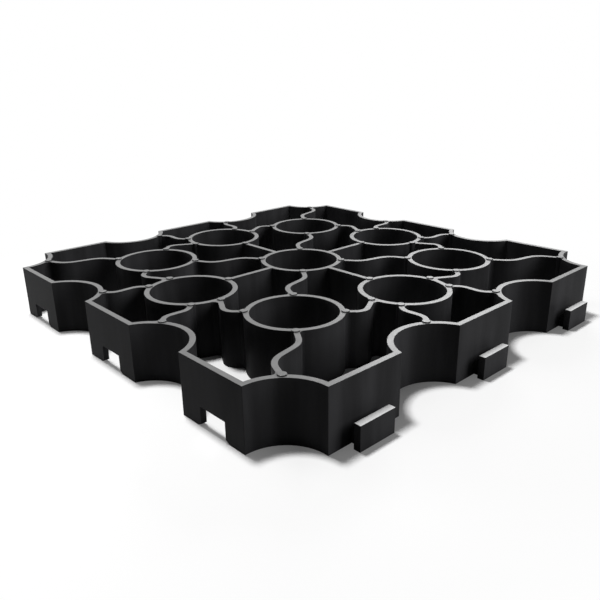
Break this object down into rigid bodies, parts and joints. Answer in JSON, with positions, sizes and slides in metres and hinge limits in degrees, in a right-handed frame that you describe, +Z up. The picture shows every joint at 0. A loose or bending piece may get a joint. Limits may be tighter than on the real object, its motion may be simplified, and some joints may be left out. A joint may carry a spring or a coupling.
{
  "type": "shed base panel",
  "caption": "Square plastic grid panel of rings and curved webs with a toothed rim, hook tabs on two sides and slots on the others, laid on level ground to carry a shed or paving.",
  "frame": {"origin": "on the ground under the middle of the panel's box with its hook tabs; the centre ring's axis is 4.5 mm towards -X and 4.5 mm towards +Y of it", "axes": "+Z up out of the cells; +X and -Y point out of the two sides with hook tabs, -X and +Y out of the two sides with slots"},
  "size_m": [0.342, 0.342, 0.0387],
  "materials": {
    "panel": "moulded satin black"
  },
  "bodies": {
    "root": {"panel": "panel"}
  },
  "joints": []
}
